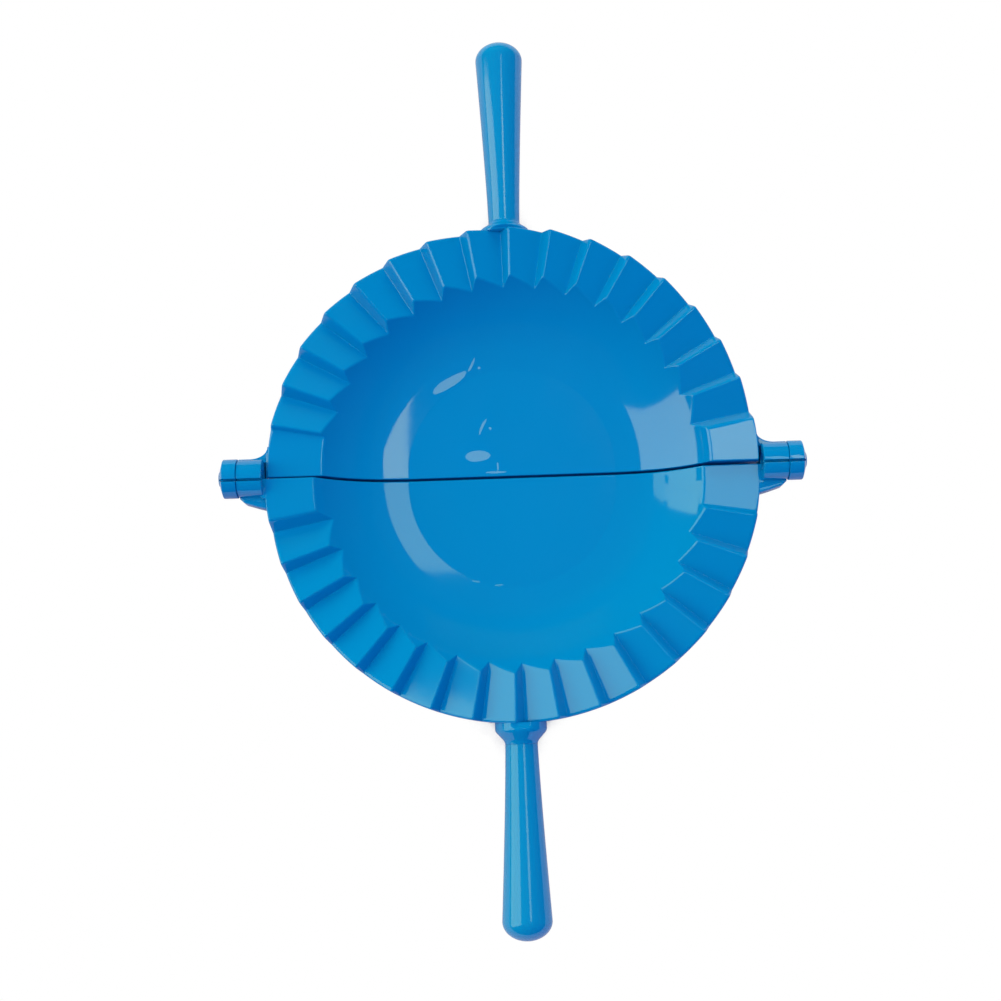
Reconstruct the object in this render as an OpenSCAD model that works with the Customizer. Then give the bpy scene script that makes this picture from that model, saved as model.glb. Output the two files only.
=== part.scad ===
// Empanada press: two crimped half bowls on a two-knuckle hinge, each with a round club handle.
// It lies open and flat on both bowl floors. X runs along the hinge and Y along the handles.

/* [Bowls] */
// Diameter of the bowl mouth, measured in the plane of the hinge axis
mouth_d = 118.8; // [100:0.1:132]
// Depth of the bowl floor below the hinge axis
bowl_depth = 13.4; // [13.4:0.1:24]
// Diameter of the flat part of the bowl floor
floor_d = 73; // [40:0.5:84]
// Thickness of the bowl wall
wall = 2.6; // [1.6:0.1:4]
// Distance from the hinge axis out to the centre of each half circle
centre_offset = 2.1; // [0.5:0.1:6]
// Gap between the two straight cut edges when the press lies open
seam_gap = 0.8; // [0.4:0.1:2]

/* [Rims] */
// Outer diameter of the upper rim
rim_d = 150; // [130:0.1:200]
// How much larger the lower rim's outer diameter is
lower_rim_extra = 0.8; // [0:0.1:4]
// Distance from the hinge axis out to the centre of the lower rim's outer edge
lower_rim_offset = 1.1; // [0.5:0.1:6]
// Depth of the rim's underside below the hinge axis
rim_depth = 6; // [5:0.1:9]

/* [Crimps] */
// Number of fields round each half, the two end pads included
crimps = 18; // [12:1:24]
// Height of a crimp step, measured at the bowl mouth
crimp_h = 3.5; // [1.5:0.1:5]
// Angle that each steep riser takes up, in degrees
riser_deg = 1.9; // [1:0.1:3]
// Room left for dough between the closed crimps
crimp_gap = 3.6; // [2:0.1:6]
// Height of the raised end pad above the hinge axis
pad_high = 1.2; // [0.5:0.1:3]
// Clearance between the end pads when the press is closed
pad_gap = 0.3; // [0.2:0.05:1]

/* [Hinge] */
// Diameter of the inner knuckles on the lower shell
block_d = 11.2; // [9:0.1:14]
// Length of each inner knuckle
block_len = 7.2; // [5:0.1:12]
// Diameter of the outer knuckles on the upper shell
cap_d = 12; // [10:0.1:15]
// Length of each outer knuckle
cap_len = 5.1; // [4:0.1:10]
// Length of the taper at the outer end of each outer knuckle
cap_taper = 1.6; // [0.5:0.1:3]
// Gap between the larger rim and the inner knuckle
knuckle_gap = 0.7; // [0.4:0.1:2]
// Running gap between the two knuckles of one hinge end
side_gap = 0.4; // [0.2:0.1:1]
// Room between the inner knuckle and the arm that passes under it
arm_clear = 0.35; // [0.3:0.05:1]
// Thickness of the arms and ears beyond the knuckles
arm_t = 2.4; // [1.5:0.1:4]
// Distance from the hinge axis to the far side of the upper arm
arm_reach = 6.6; // [6.4:0.1:8]
// Radius of the fillet where the upper arm meets the rim
arm_fillet = 3.4; // [1:0.1:5]
// Depth of the arm's top face below the lower end pad
arm_drop = 1; // [0.1:0.1:2.5]
// Distance from the hinge axis to the lower ear's root on the rim
ear_reach = 9; // [7.5:0.1:12]
// Depth of the ear's top face below the lower end pad
ear_drop = 0.1; // [0.1:0.1:2.5]
// Diameter of the hinge pins
pin_d = 5.2; // [3:0.1:6.5]
// How far a pin's round end stands out of the outer knuckle
pin_proud = 0.6; // [0:0.1:2]
// Radial running clearance of a pin in the inner knuckle
pin_clear = 0.05; // [0.02:0.01:0.1]
// Width of the parting groove along the crest of the knuckles
groove_w = 0.6; // [0.3:0.1:1]
// Depth of the parting groove
groove_t = 0.7; // [0.3:0.1:1.5]

/* [Handles] */
// Distance from the hinge axis to the tip of each handle
tip_reach = 140.4; // [120:0.1:200]
// Largest diameter of a handle, near its tip
handle_d = 15; // [10:0.1:18]
// Length of a handle's rounded tip
tip_len = 5.8; // [3:0.1:9]
// Diameter of a handle's neck, where it meets the collar
neck_d = 9.8; // [8.5:0.1:13]
// Diameter of the collar that holds a handle
collar_d = 15.7; // [13:0.1:19]
// How far a collar's round part stands out of the upper rim
collar_len = 1.6; // [1:0.1:6]
// Length of the collar's cone down to the neck
cone_len = 3.2; // [1:0.1:6]
// Gap between the two handles' collars when the press is closed
handle_gap = 0.3; // [0.3:0.1:4]
// Diameter of the spigot on the handle's inner end
spigot_d = 6.4; // [4:0.1:7.5]
// Length of the spigot
spigot_len = 13; // [6:0.5:14]
// Radial grip of the pressed spigots and pins
press_grip = 0.03; // [0:0.01:0.05]

/* [Hidden] */
$fn = 96;
// Clearance by which cutting tools run past the faces they cut
past = 1;
// How far a collar is sunk into the rim's wall
bite = 0.2;
// Smallest height of the press above the surface it lies on, at the collars
foot_gap = 0.15;
mouth_r = mouth_d / 2;
floor_r = floor_d / 2;
upper_rim_r = rim_d / 2;
lower_rim_r = upper_rim_r + lower_rim_extra / 2;
// The handles lie just clear of each other when one half is folded on to the other
handle_drop = max(collar_d, handle_d) / 2 + handle_gap / 2;
rest_h = max(bowl_depth + wall, handle_drop + max(collar_d, handle_d) / 2 + foot_gap);
// The bowl's side is one round arc that leaves the floor flat and reaches the mouth at the axis plane
side_run = mouth_r - floor_r;
side_r = (side_run * side_run + bowl_depth * bowl_depth) / (2 * bowl_depth);
// Each crimp field is a plane that rocks about its own mid line, and so is each riser
pitch = 180 / crimps;
field_half = (pitch - riser_deg) / 2;
crimp_mid = -crimp_gap / 2;
field_tilt = atan(crimp_h / (2 * mouth_r * sin(field_half)));
riser_tilt = atan(crimp_h / (2 * mouth_r * sin(riser_deg / 2)));
pad_low = -pad_high - pad_gap;
outer_r = lower_rim_r;
crest = crimp_mid + outer_r * sin(field_half) * tan(field_tilt);
rim_top = max(pad_high, crest) + past;
tool_in = mouth_r - 3 * crimp_h;
tool_len = outer_r - tool_in + 2 * past;
tool_w = outer_r * sin(pitch);
tool_h = 2 * tool_w;
// Stations along the hinge axis
block_x = outer_r + knuckle_gap;
cap_x = block_x + block_len + side_gap;
cap_end = cap_x + cap_len;
block_r = block_d / 2;
cap_r = cap_d / 2;
clear_r = block_r + arm_clear;
arm_bottom = clear_r + arm_t;
arm_top = arm_drop - pad_low;
ear_top = ear_drop - pad_low;
// How far the arms and ears run into the rims
arm_root = 5;
root_x = upper_rim_r - arm_root;
// The arm's hollow for the inner knuckle starts just outside the rims
hollow_x = outer_r + knuckle_gap / 8;
// Width of the arm under the outer knuckle, and the radius lost on each millimetre of its taper
cap_arm_w = cap_r * 0.85;
cap_slope = 0.9;
// Stations along the handles
rim_reach = max(centre_offset + upper_rim_r, lower_rim_offset + lower_rim_r);
collar_y = rim_reach + collar_len;
neck_y = collar_y + cone_len;
neck_r = neck_d / 2;
handle_r = handle_d / 2;
taper_len = tip_reach - tip_len - neck_y;

// Points of the handle's outline, as [radius, distance from the hinge axis]: the taper swells
// towards the tip with a power of the distance, and the tip is a quarter of an ellipse.
taper_power = 1.25;
taper_steps = 12;
tip_steps = 10;
function taper_point(u) = [neck_r + (handle_r - neck_r) * pow(u, taper_power), neck_y + taper_len * u];
function tip_point(a) = [handle_r * cos(a), tip_reach - tip_len + tip_len * sin(a)];

// A bowl solid about the axis plane: a flat floor of radius floor_r and a round side
module bowl_form(side, depth, top) {
    rotate_extrude() intersection() {
        translate([0, -depth]) square([floor_r + side, depth + top]);
        union() {
            translate([0, -depth]) square([floor_r, depth + top]);
            translate([floor_r, side - depth]) circle(r = side);
        }
    }
}

// The space above a plane that tilts about the radial line at an angle, over the crimp ring only
module above(angle, tilt, level) {
    rotate([0, 0, angle])
        translate([tool_in, 0, level])
            rotate([tilt, 0, 0])
                translate([0, -tool_w, 0])
                    cube([tool_len, 2 * tool_w, tool_h]);
}

// The notches of one half's crimps. A sense of 1 makes the fields rise as the angle grows,
// and -1 makes them fall, which is the form that meshes with it.
module crimp_notches(sense) {
    last = crimps - 1;
    for (i = [1 : crimps - 2]) {
        step = sense > 0 ? i : i + 1;
        intersection() {
            above((i + 0.5) * pitch, sense * field_tilt, crimp_mid);
            above(step * pitch, -sense * riser_tilt, crimp_mid);
        }
    }
    low_step = sense > 0 ? last : 1;
    high_step = sense > 0 ? 1 : last;
    intersection() {
        above(low_step * pitch + sense * pitch / 2, 0, pad_low);
        above(low_step * pitch, -sense * riser_tilt, crimp_mid);
    }
    above(high_step * pitch - sense * (pitch / 2 + riser_deg), 0, pad_high);
}

// One half of the press without its hinge, on the +Y side
module half_shell(sense, rim_r, rim_offset) {
    difference() {
        union() {
            difference() {
                union() {
                    translate([0, rim_offset, -rim_depth]) cylinder(r = rim_r, h = rim_depth + rim_top);
                    translate([0, centre_offset, 0])
                        bowl_form(side_r + wall, bowl_depth + wall, -rim_depth / 2);
                    handle_boss(rim_r, rim_offset);
                }
                translate([0, centre_offset, 0]) bowl_form(side_r, bowl_depth, rim_top + past);
                translate([0, centre_offset, 0]) crimp_notches(sense);
            }
            handle_collar(rim_r, rim_offset);
        }
        handle_socket();
        seam_cut();
    }
}

// Everything on the far side of the straight cut edge
module seam_cut() {
    reach = 2 * outer_r;
    translate([-reach, seam_gap / 2 - reach, -reach]) cube([2 * reach, reach, 2 * reach]);
}

// The round boss under the rim that the handle's spigot goes into
module handle_boss(rim_r, rim_offset) {
    intersection() {
        translate([0, floor_r + centre_offset, -handle_drop]) rotate([-90, 0, 0])
            cylinder(d = collar_d, h = rim_r - floor_r);
        translate([0, rim_offset, -rest_h]) cylinder(r = rim_r, h = rest_h + rim_top);
    }
}

// The collar that stands out of the rim, with its cone. Next to the rim its top is cut back,
// so that the other half's crimps close over it.
module handle_collar(rim_r, rim_offset) {
    difference() {
        union() {
            translate([0, rim_r - collar_d, -handle_drop]) rotate([-90, 0, 0])
                cylinder(d = collar_d, h = collar_y - rim_r + collar_d);
            translate([0, collar_y, -handle_drop]) rotate([-90, 0, 0])
                cylinder(d1 = collar_d, d2 = neck_d, h = cone_len);
        }
        translate([0, rim_offset, -2 * rest_h]) cylinder(r = rim_r - bite, h = 4 * rest_h);
        translate([-collar_d, 0, -crest - pad_gap]) cube([2 * collar_d, rim_reach + pad_gap, rest_h]);
    }
}

// The bore that grips the spigot
module handle_socket() {
    translate([0, neck_y - spigot_len - past / 2, -handle_drop]) rotate([-90, 0, 0])
        cylinder(d = spigot_d, h = spigot_len + 2 * past);
}

// A cylinder about the hinge axis, between two stations on the +X side
module about_axis(from, to, r) {
    translate([from, 0, 0]) rotate([0, 90, 0]) cylinder(r = r, h = to - from);
}

// The groove along a knuckle's crest
module crest_groove(from, to, r) {
    translate([from - past, -groove_w / 2, r - groove_t]) cube([to - from + 2 * past, groove_w, r]);
}

// The outer knuckle, with its tapered end
module cap_knuckle() {
    difference() {
        union() {
            about_axis(cap_x, cap_end - cap_taper, cap_r);
            translate([cap_end - cap_taper, 0, 0]) rotate([0, 90, 0])
                cylinder(r1 = cap_r, r2 = cap_r - cap_taper * cap_slope, h = cap_taper);
        }
        crest_groove(cap_x, cap_end, cap_r);
    }
}

// The arm that runs from the upper rim, under the inner knuckle, to the outer knuckle
module upper_arm() {
    half_gap = seam_gap / 2;
    arm_h = arm_bottom - arm_top;
    difference() {
        union() {
            translate([root_x, half_gap, -arm_bottom])
                cube([cap_x - root_x, arm_reach - half_gap, arm_h]);
            difference() {
                translate([root_x, half_gap, -arm_bottom])
                    cube([upper_rim_r - root_x + arm_fillet, arm_reach + arm_fillet - half_gap, arm_h]);
                translate([upper_rim_r + arm_fillet, arm_reach + arm_fillet, -arm_bottom - past])
                    cylinder(r = arm_fillet, h = arm_bottom + past);
            }
            translate([cap_x - past, half_gap, -arm_bottom])
                cube([cap_len - cap_taper + past, cap_arm_w - half_gap, arm_bottom]);
        }
        about_axis(hollow_x, cap_x, clear_r);
    }
}

// The inner knuckle with the ear that carries it on the lower rim, drawn on the +Y side
module lower_ear() {
    half_gap = seam_gap / 2;
    x = block_x + block_len;
    difference() {
        about_axis(block_x, x, block_r);
        crest_groove(block_x, x, block_r);
    }
    translate([0, 0, -arm_bottom]) linear_extrude(height = arm_bottom - ear_top)
        polygon([[root_x, half_gap], [x, half_gap], [x, block_r + arm_clear],
                 [upper_rim_r, ear_reach], [root_x, ear_reach]]);
}

module both_ends() {
    children();
    mirror([1, 0, 0]) children();
}

module lower_shell() {
    color([0.0, 0.52, 0.78]) translate([0, 0, rest_h]) mirror([0, 1, 0]) difference() {
        union() {
            half_shell(-1, lower_rim_r, lower_rim_offset);
            both_ends() lower_ear();
        }
        both_ends() about_axis(block_x - past, cap_x, pin_d / 2 + pin_clear);
    }
}

module upper_shell() {
    color([0.01, 0.47, 0.75]) translate([0, 0, rest_h]) difference() {
        union() {
            half_shell(1, upper_rim_r, centre_offset);
            both_ends() upper_arm();
            both_ends() cap_knuckle();
        }
        both_ends() about_axis(cap_x - past, cap_end + past, pin_d / 2 - press_grip);
    }
}

module handle() {
    translate([0, 0, rest_h - handle_drop]) rotate([-90, 0, 0]) {
        rotate_extrude() polygon(concat(
            [[0, neck_y]],
            [for (i = [0 : taper_steps]) taper_point(i / taper_steps)],
            [for (i = [1 : tip_steps - 1]) tip_point(90 * i / tip_steps)],
            [[0, tip_reach]]));
        translate([0, 0, neck_y - spigot_len]) cylinder(r = spigot_d / 2 + press_grip, h = spigot_len + past);
    }
}

module lower_handle() {
    color([0.03, 0.53, 0.78]) mirror([0, 1, 0]) handle();
}

module upper_handle() {
    color([0.08, 0.58, 0.8]) handle();
}

// A hinge pin, with a short taper on both ends
module hinge_pin() {
    nose = pin_d / 10;
    nose_d = pin_d - 2 * nose;
    start = block_x + side_gap;
    end = cap_end + pin_proud;
    translate([0, 0, rest_h]) {
        about_axis(start + nose, end - nose, pin_d / 2);
        translate([start, 0, 0]) rotate([0, 90, 0]) cylinder(d1 = nose_d, d2 = pin_d, h = nose);
        translate([end - nose, 0, 0]) rotate([0, 90, 0]) cylinder(d1 = pin_d, d2 = nose_d, h = nose);
    }
}

module right_hinge_pin() {
    color([0.0, 0.4, 0.7]) hinge_pin();
}

module left_hinge_pin() {
    color([0.0, 0.4, 0.7]) mirror([1, 0, 0]) hinge_pin();
}

lower_shell();
upper_shell();
lower_handle();
upper_handle();
left_hinge_pin();
right_hinge_pin();
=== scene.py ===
"""Empanada press, dressed for a studio picture.

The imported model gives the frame: X along the hinge, Y along the handles, Z up. Every piece is
worked out here in millimetres, measured from the hinge axis, and put into the frame in metres.
"""

import logging
import math
from dataclasses import dataclass, field
from enum import Enum
from functools import partial
from typing import Callable, Sequence

import bmesh
import bpy
import numpy as np
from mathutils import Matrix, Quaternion, Vector


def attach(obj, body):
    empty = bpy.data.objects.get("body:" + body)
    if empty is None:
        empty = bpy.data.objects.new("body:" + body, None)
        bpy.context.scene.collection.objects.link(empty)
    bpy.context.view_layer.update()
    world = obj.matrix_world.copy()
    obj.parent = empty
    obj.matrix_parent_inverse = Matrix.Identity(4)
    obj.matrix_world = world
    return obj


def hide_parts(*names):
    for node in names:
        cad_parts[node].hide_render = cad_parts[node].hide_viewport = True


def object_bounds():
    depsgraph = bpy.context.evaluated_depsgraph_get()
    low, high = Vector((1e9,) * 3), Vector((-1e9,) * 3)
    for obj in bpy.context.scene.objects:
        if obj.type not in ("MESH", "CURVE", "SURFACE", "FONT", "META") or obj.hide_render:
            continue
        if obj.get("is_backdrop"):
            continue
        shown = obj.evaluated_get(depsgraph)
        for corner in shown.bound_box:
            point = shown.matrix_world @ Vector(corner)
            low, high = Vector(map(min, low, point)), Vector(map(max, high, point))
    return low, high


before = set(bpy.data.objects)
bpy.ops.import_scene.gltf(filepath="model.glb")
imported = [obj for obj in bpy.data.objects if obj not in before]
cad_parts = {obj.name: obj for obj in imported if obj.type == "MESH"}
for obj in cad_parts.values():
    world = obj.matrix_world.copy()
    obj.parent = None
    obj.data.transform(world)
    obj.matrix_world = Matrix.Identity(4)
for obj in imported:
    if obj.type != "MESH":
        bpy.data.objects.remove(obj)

LOG = logging.getLogger("empanada_press")
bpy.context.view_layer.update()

# A millimetre in metres.
MM = 0.001
# Height of the hinge axis over the floor, and the distance kept between faces that would
# otherwise lie in one plane, in millimetres.
REST_HEIGHT = 16.0
HAIR = 0.03
# Points this close are merged, and shorter edges dissolved, in metres.
MERGE_REACH = 2e-7
SLIVER = 1e-8

Socket = bpy.types.NodeSocket
Surface = tuple[np.ndarray, Sequence[Sequence[int]]]
Place = Callable[[np.ndarray, np.ndarray, np.ndarray], np.ndarray]


class Half(Enum):
    """The two halves of the press, with the body each one rides on."""

    UPPER = "upper_half"
    LOWER = "lower_half"

    @property
    def turn(self) -> float:
        """The sign that turns a form drawn on the +Y side to this half's own side."""
        return 1.0 if self is Half.UPPER else -1.0


class End(Enum):
    """The two ends of the hinge, with the sign of their X."""

    LEFT = -1.0
    RIGHT = 1.0


# How far the parting groove lies from the knuckles' crest towards -Y, in degrees.
GROOVE_TURN = {End.LEFT: 13.0, End.RIGHT: 9.5}


# Node tools


def math_node(tree: bpy.types.NodeTree, kind: str, *given: Socket | float) -> Socket:
    """Adds a math node.

    Args:
        tree: The node tree to add it to.
        kind: The operation.
        given: A number or a socket for each of its inputs, in order.

    Returns:
        Its result.
    """
    made = tree.nodes.new("ShaderNodeMath")
    made.operation = kind
    for number, value in enumerate(given):
        if isinstance(value, float):
            made.inputs[number].default_value = value
        else:
            tree.links.new(value, made.inputs[number])
    return made.outputs[0]


def stretched(
    tree: bpy.types.NodeTree, value: Socket, start: float, end: float, most: float = 1.0,
    shape: str = "LINEAR",
) -> Socket:
    """Adds a node that stretches a value to 0 at start up to most at end, and holds it there.

    Args:
        tree: The node tree to add it to.
        value: The value.
        start: Value that becomes 0.
        end: Value that becomes most.
        most: The largest result.
        shape: Shape of the curve between them.

    Returns:
        The stretched value.
    """
    made = tree.nodes.new("ShaderNodeMapRange")
    made.interpolation_type = shape
    made.inputs["From Min"].default_value = start
    made.inputs["From Max"].default_value = end
    made.inputs["To Max"].default_value = most
    tree.links.new(value, made.inputs["Value"])
    return made.outputs["Result"]


def noise(tree: bpy.types.NodeTree, where: Socket, scale: float, detail: float) -> Socket:
    """Adds a noise texture.

    Args:
        tree: The node tree to add it to.
        where: Coordinates.
        scale: Its scale.
        detail: Its detail.

    Returns:
        Its value.
    """
    made = tree.nodes.new("ShaderNodeTexNoise")
    made.inputs["Scale"].default_value = scale
    made.inputs["Detail"].default_value = detail
    tree.links.new(where, made.inputs["Vector"])
    return made.outputs["Fac"]


# Finishes


@dataclass(frozen=True)
class MouldMark:
    """A small flaw that the mould left in a bowl's floor: a leaf-shaped spot that lies tilted.

    Along its length u and its width v, both -1 to 1, the spot is where
    u^2 + ((v - curl u^3 - bend u^2) / (1 - taper u))^2 is under 1.

    Args:
        place: Its middle in X and Y, in millimetres from the middle of the hinge.
        length: Its length.
        width: Its width.
        turn: Direction of its length, in degrees.
        tilt: Slope of its surface in X and Y, added to the floor's own.
        bend: How far both ends bend sideways, in half widths.
        curl: How far its ends curl to opposite sides, in half widths.
        taper: How much narrower it is at its far end.
        core: Share of the whole spot, as the sum above, inside which its tilt is full.
        underside: Height under which nothing is marked, in metres.
    """

    place: tuple[float, float]
    length: float
    width: float
    turn: float
    tilt: tuple[float, float]
    bend: float = 0.0
    curl: float = 0.0
    taper: float = 0.0
    core: float = 0.55
    underside: float = 0.0015

    def mask(self, tree: bpy.types.NodeTree, where: Socket) -> Socket:
        """Adds the nodes that tell where the spot is.

        Args:
            tree: The node tree to add them to.
            where: Object coordinates in metres.

        Returns:
            A value from 0 outside the spot to 1 inside it.
        """
        sums, link = partial(math_node, tree), tree.links.new
        lay = tree.nodes.new("ShaderNodeMapping")
        lay.vector_type = "TEXTURE"
        lay.inputs["Location"].default_value = (self.place[0] * MM, self.place[1] * MM, 0.0)
        lay.inputs["Rotation"].default_value = (0.0, 0.0, math.radians(self.turn))
        lay.inputs["Scale"].default_value = (self.length * MM / 2, self.width * MM / 2, 1.0)
        link(where, lay.inputs["Vector"])
        split = tree.nodes.new("ShaderNodeSeparateXYZ")
        link(lay.outputs["Vector"], split.inputs["Vector"])
        u, v, height = split.outputs["X"], split.outputs["Y"], split.outputs["Z"]
        square = sums("MULTIPLY", u, u)
        side = sums("SUBTRACT", v, sums("MULTIPLY", sums("MULTIPLY", square, u), self.curl))
        side = sums("SUBTRACT", side, sums("MULTIPLY", square, self.bend))
        side = sums("DIVIDE", side, sums("MULTIPLY_ADD", u, -self.taper, 1.0))
        reach = sums("MULTIPLY_ADD", side, side, square)
        spot = stretched(tree, reach, 1.0, self.core, shape="SMOOTHSTEP")
        return sums("MULTIPLY", spot, sums("GREATER_THAN", height, self.underside))


MOULD_MARKS = (
    MouldMark((-18.8, 30.8), 14.2, 3.3, 28.0, (-0.37, 0.057), curl=0.45, taper=0.15),
    MouldMark((-11.6, 36.3), 5.4, 0.8, 64.0, (-0.37, 0.057), bend=0.6, taper=0.4),
    MouldMark((-10.6, 7.0), 8.8, 3.9, 2.0, (-0.307, -0.02), taper=0.1),
    MouldMark((-9.0, 16.4), 6.2, 0.9, 64.0, (-0.311, -0.035), bend=-0.9),
    MouldMark((-5.1, 1.65), 7.4, 0.7, 0.0, (-0.315, -0.013)),
    MouldMark((-4.5, 3.4), 3.2, 0.6, 88.0, (-0.315, -0.013)),
    MouldMark((-6.5, 15.7), 1.1, 1.0, 0.0, (-0.311, -0.035)),
    MouldMark((-9.4, 35.2), 1.0, 0.9, 0.0, (-0.37, 0.057)),
    MouldMark((-12.4, -32.4), 3.0, 0.6, -10.0, (-0.427, -0.222)),
    MouldMark((-5.3, -33.8), 3.0, 0.6, 2.0, (-0.427, -0.222)),
)


def moulded_surface_group() -> bpy.types.NodeTree:
    """Builds the shader group for moulded plastic, once.

    Broad, faint flow marks vary the colour, and finer ones the roughness. A fine ripple with a
    very small height breaks up the reflections, as a polished mould does. The mould's marks
    tilt the normal where they are.

    Returns:
        The node group, with Colour, Variation, Roughness, Haze, Ripple and Marks as inputs and
        Colour, Roughness and Normal as outputs.
    """
    name = "moulded_surface"
    if name in bpy.data.node_groups:
        return bpy.data.node_groups[name]
    group = bpy.data.node_groups.new(name, "ShaderNodeTree")
    number, colour, direction = "NodeSocketFloat", "NodeSocketColor", "NodeSocketVector"
    for label, kind, value in (
        ("Colour", colour, (0.0, 0.2, 0.5, 1.0)), ("Variation", number, 0.04),
        ("Roughness", number, 0.2), ("Haze", number, 0.03),
        ("Ripple", number, 0.02), ("Marks", number, 0.0),
    ):
        socket = group.interface.new_socket(label, in_out="INPUT", socket_type=kind)
        socket.default_value = value
    for label, kind in (("Colour", colour), ("Roughness", number), ("Normal", direction)):
        group.interface.new_socket(label, in_out="OUTPUT", socket_type=kind)
    node, link, sums = group.nodes.new, group.links.new, partial(math_node, group)
    given, put = node("NodeGroupInput").outputs, node("NodeGroupOutput").inputs
    where = node("ShaderNodeTexCoord").outputs["Object"]

    flow = sums("SUBTRACT", noise(group, where, scale=28.0, detail=3.0), 0.5)
    tone = node("ShaderNodeHueSaturation")
    link(given["Colour"], tone.inputs["Color"])
    link(sums("ADD", sums("MULTIPLY", flow, given["Variation"]), 1.0), tone.inputs["Value"])
    link(tone.outputs["Color"], put["Colour"])

    film = noise(group, where, scale=95.0, detail=5.0)
    link(sums("MULTIPLY_ADD", film, given["Haze"], given["Roughness"]), put["Roughness"])

    bump = node("ShaderNodeBump")
    bump.inputs["Distance"].default_value = 0.0004
    link(given["Ripple"], bump.inputs["Strength"])
    link(noise(group, where, scale=160.0, detail=2.0), bump.inputs["Height"])
    normal = bump.outputs["Normal"]
    for mark in MOULD_MARKS:
        tilt = node("ShaderNodeVectorTransform")
        tilt.vector_type, tilt.convert_from, tilt.convert_to = "VECTOR", "OBJECT", "WORLD"
        tilt.inputs["Vector"].default_value = (*mark.tilt, 0.0)
        added = node("ShaderNodeVectorMath")
        added.operation = "MULTIPLY_ADD"
        link(tilt.outputs["Vector"], added.inputs[0])
        link(sums("MULTIPLY", mark.mask(group, where), given["Marks"]), added.inputs[1])
        link(normal, added.inputs[2])
        normal = added.outputs["Vector"]
    unit = node("ShaderNodeVectorMath")
    unit.operation = "NORMALIZE"
    link(normal, unit.inputs[0])
    link(unit.outputs["Vector"], put["Normal"])
    return group


@dataclass(frozen=True)
class MouldedPlastic:
    """A glossy moulded plastic finish.

    Args:
        name: Name of the material.
        slot: The record's material slot that it stands for; not used.
        colour: Base colour, linear red, green and blue.
        roughness: Roughness of the cleanest spots.
        haze: How much the faint surface film adds to the roughness.
        variation: Swing of the brightness over broad flow marks.
        ripple: Strength of the fine ripple.
        marks: Strength of the mould's marks.
        ior: Index of refraction.
    """

    name: str
    slot: str
    colour: tuple[float, float, float]
    roughness: float = 0.04
    haze: float = 0.05
    variation: float = 0.06
    ripple: float = 0.02
    marks: float = 0.0
    ior: float = 1.5

    def material(self) -> bpy.types.Material:
        """Builds the material, or returns it if it's there already.

        Returns:
            A node material whose shader takes colour, roughness and normal from the group.
        """
        if self.name in bpy.data.materials:
            return bpy.data.materials[self.name]
        made = bpy.data.materials.new(self.name)
        made.use_nodes = True
        nodes, link = made.node_tree.nodes, made.node_tree.links.new
        shader = nodes["Principled BSDF"]
        shader.inputs["IOR"].default_value = self.ior
        group = nodes.new("ShaderNodeGroup")
        group.node_tree = moulded_surface_group()
        for label, value in (
            ("Colour", (*self.colour, 1.0)), ("Variation", self.variation),
            ("Roughness", self.roughness), ("Haze", self.haze),
            ("Ripple", self.ripple), ("Marks", self.marks),
        ):
            group.inputs[label].default_value = value
        for label, socket in (
            ("Colour", "Base Color"), ("Roughness", "Roughness"), ("Normal", "Normal"),
        ):
            link(group.outputs[label], shader.inputs[socket])
        return made


SHELL_PLASTIC = MouldedPlastic("shell_cyan_blue", "shell_plastic", (0.0, 0.24, 0.60), marks=1.0)
HANDLE_PLASTIC = MouldedPlastic("handle_cyan_blue", "handle_plastic", (0.002, 0.26, 0.60))
PIN_PLASTIC = MouldedPlastic("pin_cyan_blue", "pin_plastic", (0.0, 0.2, 0.52))


# Mesh tools


def grid_faces(rows: int, cols: int, wrap: bool = False) -> np.ndarray:
    """Quads of a grid whose points are stored row by row.

    Args:
        rows: Number of rows of points.
        cols: Number of points in a row.
        wrap: True if the last column joins the first.

    Returns:
        An array of four point numbers for each quad.
    """
    last = cols if wrap else cols - 1
    row, col = np.meshgrid(np.arange(rows - 1), np.arange(last), indexing="ij")
    here = row * cols + col
    along = row * cols + (col + 1) % cols
    return np.stack([here, along, along + cols, here + cols], axis=-1).reshape(-1, 4)


def full_turn(count: int) -> np.ndarray:
    """Angles once round, evenly spread, without the closing one."""
    return np.linspace(0.0, 2 * math.pi, count, endpoint=False)


def turned(points: np.ndarray, half: Half) -> np.ndarray:
    """Turns points drawn on the +Y side half a turn about Z where the half lies on the -Y side."""
    return points * np.array([half.turn, half.turn, 1.0])


def mirrored(surface: Surface, x: float = 1.0, y: float = 1.0) -> Surface:
    """Multiplies a surface's X and Y, to bring it to its end of the hinge and its side."""
    points, faces = surface
    return points * np.array([x, y, 1.0]), faces


def lit_pieces(half: Half) -> bpy.types.Collection:
    """Gathers the pieces of one half, for a lamp that lights them alone.

    Args:
        half: The half of the press.

    Returns:
        A collection of the pieces that were made for that half.
    """
    name = half.value + "_pieces"
    if name not in bpy.data.collections:
        bpy.data.collections.new(name)
    return bpy.data.collections[name]


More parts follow.
